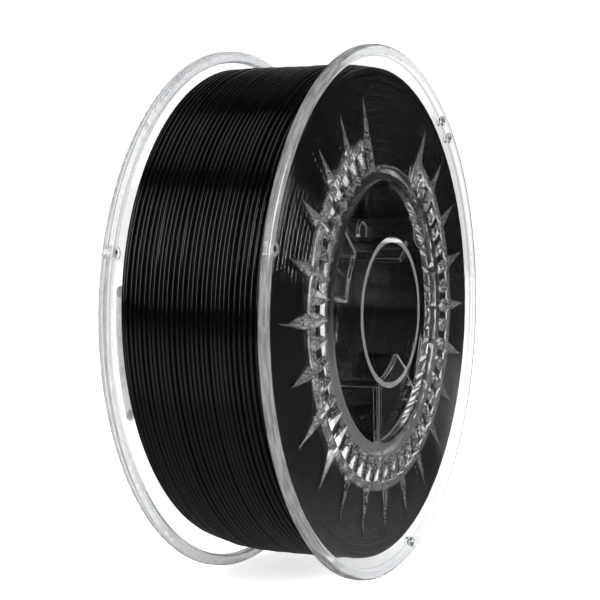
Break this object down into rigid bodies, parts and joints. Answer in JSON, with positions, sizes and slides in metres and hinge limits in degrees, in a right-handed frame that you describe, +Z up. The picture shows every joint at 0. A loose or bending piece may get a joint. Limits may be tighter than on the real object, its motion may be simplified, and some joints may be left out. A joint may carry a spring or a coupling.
{
  "type": "filament spool",
  "caption": "Clear two-part spool wound with black 3D printer filament: flat round flanges with thick rims, an open flared hub with a sunburst relief, and a central spindle bore.",
  "frame": {"origin": "centre of the spindle bore at mid-width", "axes": "+Y along the spool's axis towards the rear half, +Z up, the front half with its latch tab at -Y"},
  "size_m": [0.2, 0.0678, 0.2],
  "materials": {
    "clear_plastic": "clear, glossy, with fine moulding texture",
    "frosted_plastic": "frosted, satin",
    "filament": "black, satin gloss"
  },
  "bodies": {
    "rear_half": {"rear_flange": "clear_plastic", "rear_hub_wall": "clear_plastic", "rear_bore_tube": "clear_plastic", "rear_webs": "clear_plastic", "rear_guide_pin": "clear_plastic", "rear_latch_tab": "clear_plastic", "rear_sector_plate": "clear_plastic", "rear_pad": "frosted_plastic", "rear_pad_studs": "frosted_plastic", "filament_core": "filament", "filament_outer_turns": "filament", "filament_inner_turns": "filament", "filament_rear_turns": "filament", "filament_front_turns": "filament"},
    "front_half": {"front_flange": "clear_plastic", "front_hub_wall": "clear_plastic", "front_bore_tube": "clear_plastic", "front_webs": "clear_plastic", "front_guide_tube": "clear_plastic", "front_latch_tab": "clear_plastic", "front_sector_plate": "clear_plastic"}
  },
  "joints": [
    {"name": "front_release", "type": "slide", "parent": "rear_half", "child": "front_half", "axis": [0, -1, 0], "range_m": [0, 0.04]}
  ]
}
